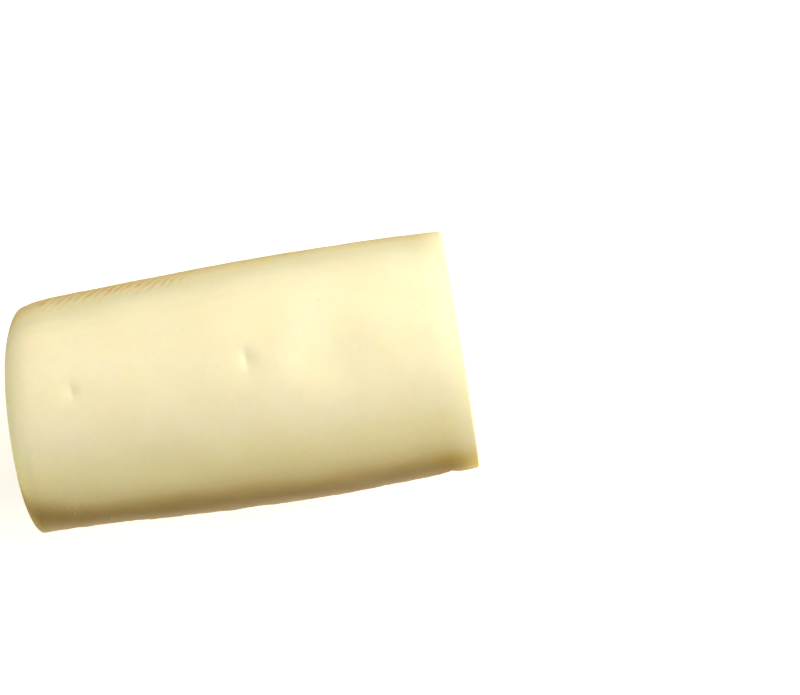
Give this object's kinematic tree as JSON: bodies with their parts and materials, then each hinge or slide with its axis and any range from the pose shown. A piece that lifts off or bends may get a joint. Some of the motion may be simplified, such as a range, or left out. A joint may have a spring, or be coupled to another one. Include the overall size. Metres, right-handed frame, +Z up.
{
  "type": "provolone cheese log",
  "caption": "Provolone cheese log lying on its side, with one moulded, domed end and the other end cut flat.",
  "frame": {"origin": "under the middle of the log, on the surface that it lies on", "axes": "+X along the log towards its cut end, +Y towards its back, +Z up"},
  "size_m": [0.2142, 0.1164, 0.1105],
  "materials": {
    "provolone": "satin: smooth, slightly waxy pale yellow cheese with a thin dry rind"
  },
  "bodies": {
    "root": {"cheese_log": "provolone"}
  },
  "joints": []
}
